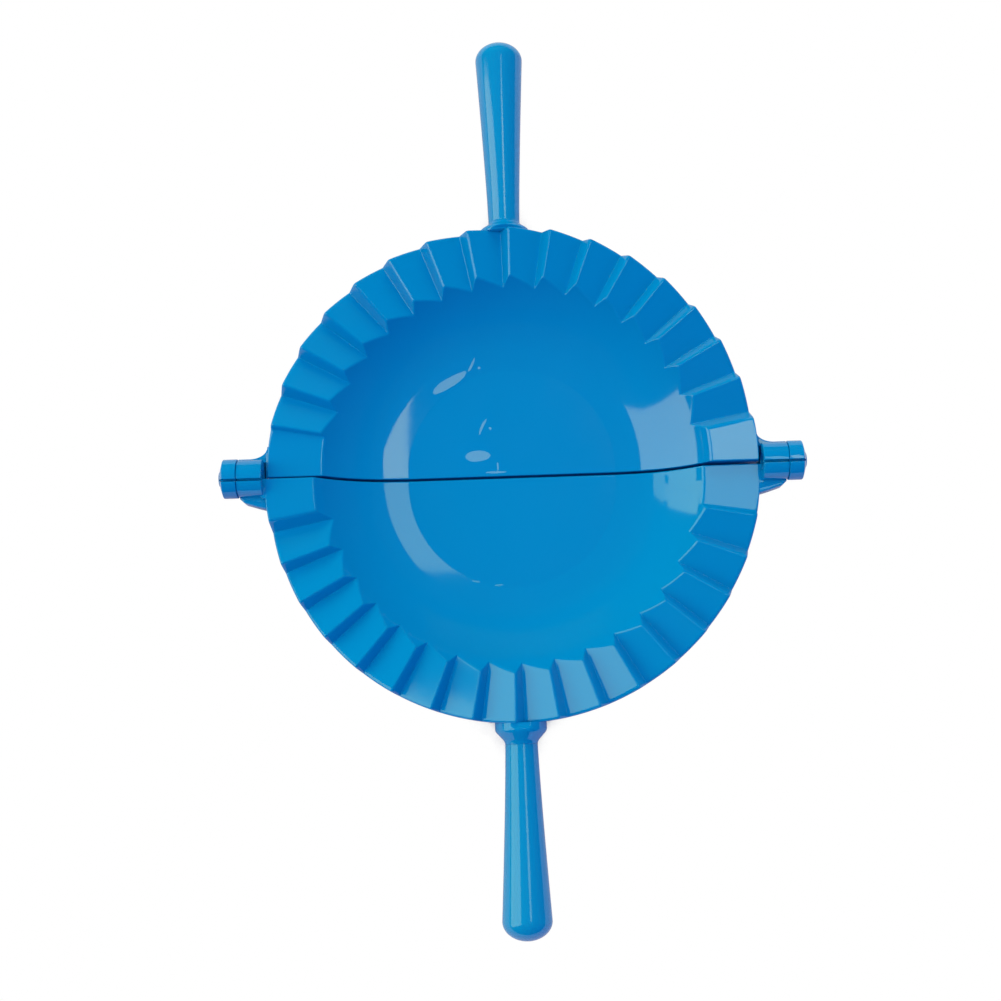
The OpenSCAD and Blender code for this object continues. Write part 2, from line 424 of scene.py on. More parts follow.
def piece(
    name: str, parts: Sequence[Surface], half: Half, finish: MouldedPlastic
) -> bpy.types.Object:
    """Makes one finished object out of closed surfaces, and hangs it on its body.

    Args:
        name: Name of the object.
        parts: Points in millimetres from the hinge axis, and faces, of each closed surface.
        half: The half of the press that it belongs to.
        finish: Its finish.

    Returns:
        The object, merged at its seams and poles, with its faces pointing outwards.
    """
    mesh = bpy.data.meshes.new(name)
    points, faces, start = [], [], 0
    for part_points, part_faces in parts:
        points.append(np.asarray(part_points, float).reshape(-1, 3))
        faces.extend([start + number for number in face] for face in part_faces)
        start += len(points[-1])
    lifted = np.concatenate(points) + np.array([0.0, 0.0, REST_HEIGHT])
    mesh.from_pydata((lifted * MM).tolist(), [], faces)
    work = bmesh.new()
    work.from_mesh(mesh)
    bmesh.ops.remove_doubles(work, verts=work.verts, dist=MERGE_REACH)
    bmesh.ops.dissolve_degenerate(work, edges=work.edges, dist=SLIVER)
    bmesh.ops.recalc_face_normals(work, faces=work.faces)
    work.to_mesh(mesh)
    work.free()
    mesh.shade_smooth()
    made = bpy.data.objects.new(name, mesh)
    bpy.context.scene.collection.objects.link(made)
    lit_pieces(half).objects.link(made)
    mesh.materials.append(finish.material())
    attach(made, half.value)
    return made


def rounded_corner(
    before: Sequence, corner: Sequence, after: Sequence, steps: int
) -> np.ndarray:
    """Points of a rounded corner: the parabola that leaves `before` towards the corner and
    arrives at `after` from it, B(u) = (1-u)^2 before + 2u(1-u) corner + u^2 after.

    Args:
        before: Point where the rounding starts, or an array of such points.
        corner: The sharp corner, or corners.
        after: Point where the rounding ends, or points.
        steps: Number of points, both ends included.

    Returns:
        The points, with the steps in a new first axis.
    """
    before, corner, after = (np.asarray(point, float) for point in (before, corner, after))
    u = np.linspace(0.0, 1.0, steps).reshape((-1,) + (1,) * np.ndim(corner))
    return (1 - u) ** 2 * before + 2 * u * (1 - u) * corner + u ** 2 * after


def rounded_outline(
    corners: Sequence[Sequence[float]], reaches: Sequence[float], steps: int = 7
) -> np.ndarray:
    """An outline with its corners rounded.

    Args:
        corners: The sharp corners in order.
        reaches: How far along its two sides each corner's rounding reaches, or 0 for a corner
            that stays sharp, as the ends of an open outline do.
        steps: Number of points at each rounded corner.

    Returns:
        The outline's points, in order, as far as there are reaches.
    """
    sharp = np.asarray(corners, float)
    line = []
    for number, reach in enumerate(reaches):
        corner = sharp[number]
        if reach == 0.0:
            line.append(corner[None])
            continue
        back, ahead = sharp[number - 1] - corner, sharp[(number + 1) % len(sharp)] - corner
        before = corner + back / np.linalg.norm(back) * reach
        after = corner + ahead / np.linalg.norm(ahead) * reach
        line.append(rounded_corner(before, corner, after, steps))
    return np.concatenate(line)


def revolved(
    stations: np.ndarray, radii: np.ndarray, turn: np.ndarray, place: Place
) -> Surface:
    """A closed surface of revolution: at each station a ring of that radius.

    Args:
        stations: Distances along the axis.
        radii: Radius at each station, or a radius for each station and angle.
        turn: Angles round the axis, without the closing one.
        place: Puts (station, across, up) into the frame.

    Returns:
        Points and quads. The ends have radius 0 and close at their poles.
    """
    ring = np.broadcast_to(radii[:, None] if radii.ndim == 1 else radii, (len(stations), len(turn)))
    along = np.broadcast_to(stations[:, None], ring.shape)
    points = place(along, ring * np.cos(turn), ring * np.sin(turn))
    return points.reshape(-1, 3), grid_faces(len(stations), len(turn), wrap=True)


def capped_tube(rows: int, cols: int) -> list[list[int]]:
    """Faces of a closed tube whose points are stored ring by ring.

    Args:
        rows: Number of rings.
        cols: Number of points in a ring.

    Returns:
        Its quads, a face over the first ring and one over the last.
    """
    ring = list(range(cols))
    last = [(rows - 1) * cols + number for number in ring]
    return grid_faces(rows, cols, wrap=True).tolist() + [ring[::-1], last]


def prism(
    outline: np.ndarray, low: float, high: float, edge: float, steps: int = 5
) -> Surface:
    """An upright block over a closed outline, with its top and bottom edges rounded.

    Each rounded edge is a quarter turn a: the outline is drawn in by edge (1 - sin a) where
    the height lies edge (1 - cos a) inside the block's own.

    Args:
        outline: Points in X and Y, anticlockwise.
        low: Height of the bottom.
        high: Height of the top.
        edge: Radius of the rounded edges.
        steps: Number of rings in each rounded edge.

    Returns:
        Points and faces.
    """
    ahead = np.roll(outline, -1, axis=0) - np.roll(outline, 1, axis=0)
    ahead /= np.linalg.norm(ahead, axis=1, keepdims=True)
    inward = np.stack([-ahead[:, 1], ahead[:, 0]], axis=1)
    a = np.linspace(0.0, math.pi / 2, steps)
    inset = edge * (1 - np.sin(a))
    sink = edge * (1 - np.cos(a))
    inset = np.concatenate([inset, inset[::-1]])
    height = np.concatenate([low + sink, high - sink[::-1]])
    flat = outline[None] + inward[None] * inset[:, None, None]
    level = np.broadcast_to(height[:, None, None], flat.shape[:2] + (1,))
    points = np.concatenate([flat, level], axis=2)
    rows, cols = level.shape[:2]
    return points.reshape(-1, 3), capped_tube(rows, cols)


# Shells


@dataclass
class Crimps:
    """The crimps of one half: flat fields that each rock about a radial line, with a steep
    riser between one and the next, and a flat pad at each end of the ring.

    Args:
        count: Number of fields, pads included.
        height: Height of a step at the bowl mouth.
        mouth_radius: Radius at which that height is measured.
        riser: Angle that a riser takes, in degrees.
        middle: Height of the lines that fields and risers rock about.
        high_pad: Height of the pad at angle 0.
        low_pad: Height of the pad at angle 180.
        crest_round: Height over which a crest is rounded.
        root_round: Height over which the foot of a riser is hollowed.
    """

    count: int = 18
    height: float = 3.5
    mouth_radius: float = 59.4
    riser: float = 1.9
    middle: float = -1.8
    high_pad: float = 1.2
    low_pad: float = -1.5
    crest_round: float = 1.2
    root_round: float = 0.4

    @property
    def pitch(self) -> float:
        """Angle from one riser to the next, in degrees."""
        return 180.0 / self.count

    def slopes(self) -> tuple[float, float]:
        """Rise over run of a field and of a riser."""
        half_field = math.radians((self.pitch - self.riser) / 2)
        half_riser = math.radians(self.riser / 2)
        reach = 2 * self.mouth_radius
        field_slope = self.height / (reach * math.sin(half_field))
        riser_slope = self.height / (reach * math.sin(half_riser))
        return field_slope, riser_slope

    @staticmethod
    def lower_of(a: np.ndarray, b: np.ndarray, blend: float) -> np.ndarray:
        """The lower of two heights, less (blend - |a-b|)^2 / (4 blend) where they lie within blend."""
        near = np.clip(blend - np.abs(a - b), 0.0, None)
        return np.minimum(a, b) - near ** 2 / (4 * blend)

    def surface(self, radius: np.ndarray, angle: np.ndarray) -> np.ndarray:
        """Height of the crimps over a point.

        A field is middle + r sin(angle off its mid line) times its slope, a riser falls the
        same way, and the surface is the field, cut by the next riser and raised by the last.

        Args:
            radius: Distances from the ring's centre.
            angle: Angles round the ring, in degrees.

        Returns:
            Heights above the hinge axis.
        """
        field_slope, riser_slope = self.slopes()
        number = np.clip(np.floor(angle / self.pitch), 0, self.count - 1)
        off_middle = np.radians(angle - (number + 0.5) * self.pitch)
        height = self.middle + radius * np.sin(off_middle) * field_slope
        height = np.where(number == 0, self.high_pad, height)
        height = np.where(number == self.count - 1, self.low_pad, height)
        after_last = np.radians(angle - number * self.pitch)
        before_next = after_last - math.radians(self.pitch)
        next_riser = self.middle - radius * np.sin(before_next) * riser_slope
        last_riser = self.middle - radius * np.sin(after_last) * riser_slope
        cut = self.lower_of(height, next_riser, self.crest_round)
        height = np.where(number < self.count - 1, cut, height)
        raised = -self.lower_of(-height, -last_riser, self.root_round)
        return np.where(number > 0, raised, height)

    def stations(self) -> np.ndarray:
        """Angles of the grid's columns: close together over each riser, wide over the fields.

        Returns:
            Angles from 0 to 180 degrees. About each riser they lie before its crest, over its
            foot and over the field behind it, in degrees from its start.
        """
        crest = [-1.9, -1.75, -1.6, -1.45, -1.3, -1.15, -1.0, -0.85, -0.7, -0.55, -0.4, -0.2]
        root = [0.2, 0.6, 0.72, 0.8, 0.88, 0.96, 1.04, 1.12, 1.2, 1.35, 1.8]
        open_field = [2.8, 4.2, 5.6, 7.0, 7.6]
        step = np.array(crest + root + open_field)
        angles = (np.arange(1, self.count) * self.pitch)[:, None] + step[None, :]
        first = np.linspace(0.0, self.pitch - 2.4, 8)
        angles = np.concatenate([first, angles.ravel()])
        return np.append(angles[angles < 180.0 - 1e-6], 180.0)


@dataclass(frozen=True)
class Rim:
    """The round wall of one half's rim.

    Args:
        half: Which half it is.
        radius: Radius of the wall.
        centre: Distance from the hinge axis to its centre.
    """

    half: Half
    radius: float
    centre: float


UPPER_RIM = Rim(Half.UPPER, 75.0, 2.1)
LOWER_RIM = Rim(Half.LOWER, 75.4, 1.1)


@dataclass
class BowlShell:
    """One half bowl with its crimped rim, as a closed sheet with a thickness.

    Seen in a radial plane the top goes from the flat floor up a round side to the mouth, over
    a rounded lip on to the crimps and over a rounded edge down the rim's wall. The bottom has
    the same stations. Columns are radial, and a narrow strip at each side carries them past
    the bowl's centre line to the straight cut edge.

    Args:
        rim: The rim's wall.
        centre: Distance from the hinge axis to the centre of bowl and crimps.
        floor_radius: Radius where the bowl's outer skin leaves the floor.
        dish_radius: Radius of the flat disc in the middle of the floor.
        dish_step: Width over which the slope steps up at the disc's edge.
        toe: How far outside the floor radius the round side begins inside.
        slopes: Slope angles of the inside in radians: at the disc's edge, just outside it,
            where the round side begins and past the mouth.
        mouth_radius: Radius of the mouth at the height of the hinge axis.
        past_mouth: How far past the mouth the inside's formula runs.
        depth: Depth of the floor.
        wall: Thickness of the bowl.
        rim_depth: Depth of the rim's underside.
        under_blend: Height over which the bowl's outer skin blends into it.
        seam: Distance from the hinge axis to the cut edge.
        lip: How far the mouth's rounded lip reaches.
        brow: How far the outer edge's rounding reaches.
        brow_share: The largest share of the wall's height that it takes.
        hinge_brow: The same beside the hinge, where the edge is sharper.
        hinge_span: Angle from the hinge over which it is sharper, in degrees.
        hinge_blend: Angle over which it then goes over to the brow.
        cut_round: Radius of the rounding along the cut edge.
        heel: Radius of the rounding at the foot of the rim's wall.
        boss_start: Where the boss under the rim starts.
        boss_stop: Where it stops.
        boss_chamfer: Length and depth of the chamfer at its start.
        boss_bite: Share of the bowl's thickness that the boss reaches up into.
        crimps: The crimps.
    """

    rim: Rim
    centre: float = 2.1
    floor_radius: float = 36.5
    dish_radius: float = 32.1
    dish_step: float = 0.5
    toe: float = 2.0
    slopes: tuple[float, float, float, float] = (0.0, 0.1, 0.15, 1.04)
    mouth_radius: float = 59.4
    past_mouth: float = 4.0
    depth: float = 13.4
    wall: float = 2.6
    rim_depth: float = 6.0
    under_blend: float = 0.8
    seam: float = 0.4
    lip: float = 0.55
    brow: float = 1.1
    brow_share: float = 0.55
    hinge_brow: float = 0.35
    hinge_span: float = 6.0
    hinge_blend: float = 5.0
    cut_round: float = 0.25
    heel: float = 0.6
    boss_start: float = 38.6
    boss_stop: float = 76.0
    boss_chamfer: tuple[float, float] = (0.1, 0.4)
    boss_bite: float = 0.4
    crimps: Crimps = field(default_factory=Crimps)

    @property
    def side_radius(self) -> float:
        """Radius of the bowl's round side."""
        run = self.mouth_radius - self.floor_radius
        return (run * run + self.depth * self.depth) / (2 * self.depth)

    @property
    def foot_end(self) -> float:
        """Radius where the round side begins inside."""
        return self.floor_radius + self.toe

    def inside(self) -> tuple[np.ndarray, np.ndarray]:
        """The bowl's inside, as heights over a fine row of radii.

        The slope angle is nothing on the flat disc, steps up at its edge, grows slowly as far
        as the side and evenly up the side. The height is the sum of the slope's tangent, and
        is stretched to the bowl's depth.

        Returns:
            Radii and heights.
        """
        reach = self.mouth_radius + self.past_mouth
        radius = np.linspace(0.0, reach, 2400)
        stations = [self.dish_radius, self.dish_radius + self.dish_step, self.foot_end, reach]
        slope = np.tan(np.interp(radius, stations, self.slopes))
        rise = np.cumsum(slope) * (radius[1] - radius[0])
        return radius, rise * self.depth / np.interp(self.mouth_radius, radius, rise) - self.depth

    def bowl_height(self, radius: np.ndarray) -> np.ndarray:
        """Height of the inside at a radius."""
        return np.interp(radius, *self.inside())

    def bowl_reach(self, height: np.ndarray) -> np.ndarray:
        """Radius at which the inside has a height."""
        radius, rise = self.inside()
        start = np.searchsorted(rise, -self.depth + 1e-6)
        return np.interp(height, rise[start:], radius[start:])

    def under_height(self, radius: np.ndarray) -> np.ndarray:
        """Height of the underside: the bowl's outer skin, blended into the rim's flat underside."""
        outer = self.side_radius + self.wall
        out = np.clip(radius - self.floor_radius, 0.0, outer * 0.999)
        skin = self.side_radius - self.depth - np.sqrt(outer ** 2 - out ** 2)
        return Crimps.lower_of(skin, np.full_like(skin, -self.rim_depth), self.under_blend)

    def rim_reach(self, angle: np.ndarray) -> np.ndarray:
        """Distance from the bowl's centre to the rim's wall at an angle in degrees."""
        shift = self.centre - self.rim.centre
        along = shift * np.sin(np.radians(angle))
        return -along + np.sqrt(along ** 2 - shift ** 2 + self.rim.radius ** 2)

    def columns(self) -> tuple[np.ndarray, np.ndarray, np.ndarray]:
        """Where the grid's columns run, with the strips that carry them to the cut edge.

        Returns:
            The angle of each column in degrees, how far it lies past the centre line towards
            the cut edge, and how far it is drawn in by the cut edge's rounding.
        """
        angle = self.crimps.stations()
        full = self.centre - self.seam
        turn = np.linspace(0.0, math.pi / 2, 5)
        strip = np.concatenate([[0.6, 1.2], full - self.cut_round * (1 - np.sin(turn))])
        drawn = np.concatenate([[0.0, 0.0], self.cut_round * (1 - np.cos(turn))])
        past = np.concatenate([strip[::-1], np.zeros_like(angle), strip])
        inset = np.concatenate([drawn[::-1], np.zeros_like(angle), drawn])
        angle = np.concatenate([np.zeros_like(strip), angle, np.full_like(strip, 180.0)])
        return angle, past, inset

    def section(self, angle: np.ndarray, past: np.ndarray) -> np.ndarray:
        """Works out the sheet's section in each column: up the inside, over the lip, out over
        the crimps, over the brow, down the wall and back along the underside.

        Args:
            angle: Angle of each column in degrees.
            past: How far each column lies past the centre line.

        Returns:
            Radius and height of each point, row by row along the section.
        """
        side = np.where(angle < 90.0, 1.0, -1.0)

        def bearing(radius: np.ndarray) -> np.ndarray:
            """Angle of a column where it has a radius, in degrees."""
            lean = np.degrees(np.arcsin(np.clip(past / np.maximum(radius, 5.0), 0.0, 0.5)))
            return angle - side * lean

        def crimp_point(radius: np.ndarray) -> np.ndarray:
            """Radius and height of the crimps in each column."""
            return np.stack([radius, self.crimps.surface(radius, bearing(radius))], axis=-1)

        def bowl_point(radius: np.ndarray) -> np.ndarray:
            """Radius and height of the bowl's inside in each column."""
            return np.stack([radius, self.bowl_height(radius)], axis=-1)

        # A column's bearing depends on its radius and the other way round, so both close in.
        outer = np.full_like(angle, self.rim.radius)
        for _ in range(4):
            outer = self.rim_reach(bearing(outer))
        mouth = np.full_like(angle, self.mouth_radius)
        for _ in range(14):
            mouth = self.bowl_reach(self.crimps.surface(mouth, bearing(mouth)))

        # Radii of the floor's rows: close together at the disc's edge, where the slope steps up.
        disc = [[0.0, 1.5], np.linspace(3.0, 13.0, 17), [15.0, 19.0, 24.0, 28.0, 31.0]]
        step = self.dish_radius + np.array([-0.4, -0.15, 0.0, 0.12, 0.25, 0.38, 0.5, 0.65, 1.0])
        toe = np.linspace(self.dish_radius + 1.6, self.foot_end, 9)
        stations = np.concatenate([*disc, step, toe])
        floor_rows = [bowl_point(np.full_like(angle, radius)) for radius in stations]
        # The side's rows crowd a little towards the lip, which starts three quarters as far in.
        crowding, lip_inside = 1.15, self.lip * 0.75
        lip_start, lip_end = mouth - lip_inside, mouth + self.lip
        shares = 1 - (1 - np.linspace(0.0, 1.0, 28)[1:]) ** crowding
        side_rows = [bowl_point(self.foot_end + (lip_start - self.foot_end) * u) for u in shares]
        lip_rows = rounded_corner(bowl_point(lip_start), crimp_point(mouth), crimp_point(lip_end), 8)[1:]

        from_hinge = 90.0 - np.abs(angle - 90.0)
        widened = np.clip((from_hinge - self.hinge_span) / self.hinge_blend, 0.0, 1.0)
        brow = self.hinge_brow + (self.brow - self.hinge_brow) * widened
        brow_start = outer - brow
        shares = (0.02, 0.12, 0.35, 0.6, 0.85, 0.98, 1.0)
        ring_rows = [crimp_point(lip_end + (brow_start - lip_end) * u) for u in shares]
        edge = crimp_point(outer)
        drop = np.minimum(brow, (edge[:, 1] + self.rim_depth) * self.brow_share)
        fall = edge - np.stack([np.zeros_like(drop), drop], axis=-1)
        brow_rows = rounded_corner(crimp_point(brow_start), edge, fall, 9)[1:]
        top = np.concatenate([
            np.stack(floor_rows), np.stack(side_rows), lip_rows, np.stack(ring_rows), brow_rows,
        ])

        foot = np.stack([outer, np.full_like(outer, -self.rim_depth)], axis=-1)
        heel_rows = rounded_corner(
            foot + [0.0, self.heel], foot, foot - [self.heel, 0.0], len(brow_rows)
        )
        # The underside has the top's radii, but starts just inside the heel.
        under_radius = top[: -len(brow_rows), :, 0][::-1]
        under_radius = np.minimum(under_radius, outer - self.heel * 1.02)
        under_rows = np.stack([under_radius, self.under_height(under_radius)], axis=-1)
        return np.concatenate([top, heel_rows, under_rows])

    def surface(self) -> Surface:
        """Works out the closed sheet.

        The section is drawn in along its own normals where the cut edge is rounded, and each
        column leans towards the cut edge by the square of the radius, up to the floor's edge.

        Returns:
            Points in millimetres on this half's own side, and faces.
        """
        angle, past, inset = self.columns()
        section = self.section(angle, past)
        along = np.gradient(section, axis=0)
        normal = np.stack([-along[..., 1], along[..., 0]], axis=-1)
        length = np.linalg.norm(normal, axis=-1, keepdims=True)
        normal = normal / np.maximum(length, 1e-9)
        section = section - normal * inset[None, :, None]

        radius, height = section[..., 0], section[..., 1]
        radius[0], radius[-1] = 0.0, 0.0
        lean = np.clip(radius / self.floor_radius, 0.0, 1.0) ** 2 * past
        across = np.sqrt(np.clip(radius ** 2 - lean ** 2, 0.0, None))
        turn = np.radians(angle)
        x = across * np.cos(turn)
        y = self.centre + across * np.sin(turn) - past
        points = np.stack([x, y, height], axis=-1)
        return turned(points, self.rim.half).reshape(-1, 3), self.faces(*x.shape)

    @staticmethod
    def faces(rows: int, cols: int) -> list[list[int]]:
        """The sheet's quads, with a ladder of faces that joins top and bottom at each side.

        Args:
            rows: Number of points along the section.
            cols: Number of columns.

        Returns:
            The faces.
        """
        faces = grid_faces(rows, cols).tolist()
        first = np.arange(rows // 2)
        for column in (0, cols - 1):
            here, there = first * cols + column, (rows - 1 - first) * cols + column
            ladder = np.stack([here[:-1], here[1:], there[1:], there[:-1]], axis=-1)
            faces.extend(ladder.tolist())
            if rows % 2:
                faces.append([int(here[-1]), int(here[-1]) + cols, int(there[-1])])
        return faces

    def boss(self, radius: float, drop: float) -> Surface:
        """The round boss under the rim that holds the handle's spigot.

        It is a cylinder along Y whose upper side is pressed down into the shell's thickness.

        Args:
            radius: Radius of the boss.
            drop: Depth of its axis.

        Returns:
            Points and quads.
        """
        start, stop, rings = self.boss_start, self.boss_stop, 70
        run, fall = self.boss_chamfer
        stations = np.concatenate([[start, start], np.linspace(start + run, stop, rings), [stop]])
        radii = np.concatenate([[0.0, radius - fall], np.full(rings, radius), [0.0]])

        def place(along: np.ndarray, across: np.ndarray, up: np.ndarray) -> np.ndarray:
            """Puts the cylinder under the shell."""
            reach = np.hypot(across, along - self.centre)
            lid = self.under_height(reach) + self.wall * self.boss_bite
            points = np.stack([across, along, np.minimum(up - drop, lid)], axis=-1)
            return turned(points, self.rim.half)

        return revolved(stations, radii, full_turn(96), place)


@dataclass
class HandleSeat:
    """The collar and cone on the rim that a handle stands in.

    Args:
        rim: The rim's wall.
        collar_end: Where the round collar ends.
        cone_end: Where the cone ends.
        collar_radius: Radius of the collar.
        neck_radius: Radius at the cone's end.
        collar_round: How far the rounding where the cone starts reaches along both sides.
        cone_round: The same at the cone's end.
        plug: Length of the plug that closes the cone inside the handle.
        plug_inset: How much thinner the plug's end is than the neck.
        drop: Depth of the axis under the hinge axis.
        relief_end: Where the cut beside the rim ends.
        relief_run: Length over which the top comes back up from that cut.
        relief_depth: Depth of that cut.
        bite: How far the collar reaches into the rim.
        root: How far its outline starts inside the rim, before it is held to the wall.
    """

    rim: Rim
    collar_end: float = 78.7
    cone_end: float = 81.9
    collar_radius: float = 7.85
    neck_radius: float = 4.9
    collar_round: float = 0.75
    cone_round: float = 1.0
    plug: float = 0.6
    plug_inset: float = 0.15
    drop: float = 8.0
    relief_end: float = 77.4
    relief_run: float = 0.25
    relief_depth: float = 0.72
    bite: float = 0.3
    root: float = 2.0

    def surface(self) -> Surface:
        """Turns the outline of collar and cone about the handle's axis.

        Its start follows the rim's wall, rim.centre + sqrt(rim.radius^2 - x^2), and its top
        is held down to the relief beside the rim.

        Returns:
            Points and quads.
        """
        start = self.rim.centre + self.rim.radius - self.root
        plug_end = self.cone_end + self.plug
        corners = np.array([
            [start, 0.0], [start, self.collar_radius],
            [self.collar_end, self.collar_radius], [self.cone_end, self.neck_radius],
            [self.cone_end + 2.0, self.neck_radius],
        ])
        line = rounded_outline(corners, [0.0, 0.0, self.collar_round, self.cone_round], 8)
        line[-1] = [plug_end, self.neck_radius - self.plug_inset]
        beside_rim = np.linspace(0.35, 0.7, 16)[:, None]
        collar = corners[1] + (corners[2] - corners[1]) * beside_rim
        outline = np.concatenate([line[:2], collar, line[2:], [[plug_end, 0.0]]])

        def hug(along: np.ndarray, across: np.ndarray, up: np.ndarray) -> np.ndarray:
            """Starts the collar at the rim's wall and holds its top down beside it."""
            wall = self.rim.centre + np.sqrt(self.rim.radius ** 2 - across ** 2) - self.bite
            along = np.maximum(along, wall)
            free = np.clip((along - self.relief_end) / self.relief_run, 0.0, 1.0)
            over_collar = self.drop + 0.2
            lid = over_collar * free + (self.drop - self.relief_depth) * (1 - free)
            return self.place(along, across, np.minimum(up, lid))

        return revolved(outline[:, 0], outline[:, 1], full_turn(160), hug)

    def place(self, along: np.ndarray, across: np.ndarray, up: np.ndarray) -> np.ndarray:
        """Puts (along, across, up) on the handle's axis, on this half's side."""
        return turned(np.stack([across, along, up - self.drop], axis=-1), self.rim.half)


@dataclass
class ClubHandle:
    """A round handle that swells from its neck towards a blunt rounded tip.

    The radius is neck + (thick - neck) u^swell along the taper, and the tip is a quarter of an
    ellipse.

    Args:
        seat: The collar that it stands in.
        tip: Distance from the hinge axis to its tip.
        tip_length: Length of the rounded tip.
        thick: Largest radius.
        swell: Power of the taper's curve.
        spigot_radius: Radius of the spigot inside the collar.
        spigot_length: Length of the spigot.
    """

    seat: HandleSeat
    tip: float = 140.4
    tip_length: float = 5.8
    thick: float = 7.5
    swell: float = 1.25
    spigot_radius: float = 3.2
    spigot_length: float = 13.0

    def build(self) -> bpy.types.Object:
        """Makes the handle, in place of its CAD node.

        Returns:
            The object.
        """
        neck, neck_radius = self.seat.cone_end, self.seat.neck_radius
        bevel = 0.02
        inner = neck - self.spigot_length
        taper = self.tip - self.tip_length - neck - bevel
        u = np.linspace(0.0, 1.0, 60)
        a = np.linspace(0.0, math.pi / 2, 22)[1:]
        stations = np.concatenate([
            [inner, inner, neck, neck], neck + bevel + taper * u,
            self.tip - self.tip_length * (1 - np.sin(a)),
        ])
        radii = np.concatenate([
            [0.0, self.spigot_radius, self.spigot_radius, neck_radius - HAIR],
            neck_radius + (self.thick - neck_radius) * u ** self.swell,
            self.thick * np.cos(a),
        ])
        radii[-1] = 0.0
        half = self.seat.rim.half
        node = half.name.lower() + "_handle"
        surface = revolved(stations, radii, full_turn(160), self.seat.place)
        made = piece(node + "_club", [surface], half, HANDLE_PLASTIC)
        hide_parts(node)
        return made


# Hinge


@dataclass
class Knuckle:
    """A round hinge knuckle with a parting groove beside its crest.

    Args:
        end: Which end of the hinge it is at.
        start: Where it starts along the hinge axis.
        stop: Where it stops.
        radius: Its radius.
        edge: Radius of its rounded rims.
        taper: Length of the taper at its outer end.
        slope: Radius lost for each millimetre of taper.
        groove_turn: How far the groove lies from the crest towards -Y, in degrees.
        groove_width: Width of the groove.
        groove_depth: Depth of the groove.
        bore: Radius of the bore for the pin.
        bore_edge: Radius of the rounding at the inner end's bore.
        tip_edge: Radius of the rounding at the outer end's bore.
        taper_edge: Radius of the rounding where the taper starts.
    """

    end: End
    start: float
    stop: float
    radius: float
    edge: float = 0.28
    taper: float = 0.0
    slope: float = 3.1
    groove_turn: float = 0.0
    groove_width: float = 0.72
    groove_depth: float = 2.2
    bore: float = 2.65
    bore_edge: float = 0.15
    tip_edge: float = 0.1
    taper_edge: float = 0.25

    def angles(self) -> np.ndarray:
        """Angles round the axis, close together at the groove."""
        half = math.degrees(self.groove_width / 2 / self.radius)
        near = half * np.array([0.0, 0.4, 0.78, 0.86, 0.92, 0.97, 1.02, 1.08, 1.14, 1.22, 1.6, 2.6])
        crest = np.concatenate([-near[::-1], near[1:]])
        rest = np.linspace(near[-1], 360.0 - near[-1], 90)[1:-1]
        return np.radians(90.0 + self.groove_turn + np.concatenate([crest, rest]))

    def surface(self) -> Surface:
        """Turns the knuckle's outline about the hinge axis and sinks the groove into it.

        The groove's wall falls by t^2 (3 - 2t) over a fifth of the groove's width, and the
        groove runs out towards the bore.

        Returns:
            Points and quads of a ring with its bore left open.
        """
        taper_start = self.stop - self.taper
        end_radius = self.radius - self.taper * self.slope
        corners = [[self.start, self.bore], [self.start, self.radius]]
        rounds = [self.bore_edge, self.edge]
        if self.taper:
            corners.append([taper_start, self.radius])
            rounds.append(self.taper_edge)
        corners += [[self.stop, end_radius], [self.stop, self.bore]]
        rounds += [self.edge, self.tip_edge]
        outline = rounded_outline(corners, rounds)
        angle = self.angles()
        off = np.abs(self.radius * (angle - math.radians(90.0 + self.groove_turn)))
        half = self.groove_width / 2
        t = 1 - np.clip((off - half * 0.8) / (half * 0.4), 0.0, 1.0)
        sunk = t * t * (3 - 2 * t) * self.groove_depth
        outside = np.clip((outline[:, 1] - self.bore - 0.8) / 0.4, 0.0, 1.0)
        radii = outline[:, 1:2] - sunk[None, :] * outside[:, None]
        points = np.stack([
            np.broadcast_to(outline[:, :1] * self.end.value, radii.shape),
            radii * np.cos(angle), radii * np.sin(angle),
        ], axis=-1)
        rows, cols = radii.shape
        closed = np.concatenate([points, points[:1]])
        return closed.reshape(-1, 3), grid_faces(rows + 1, cols, wrap=True)


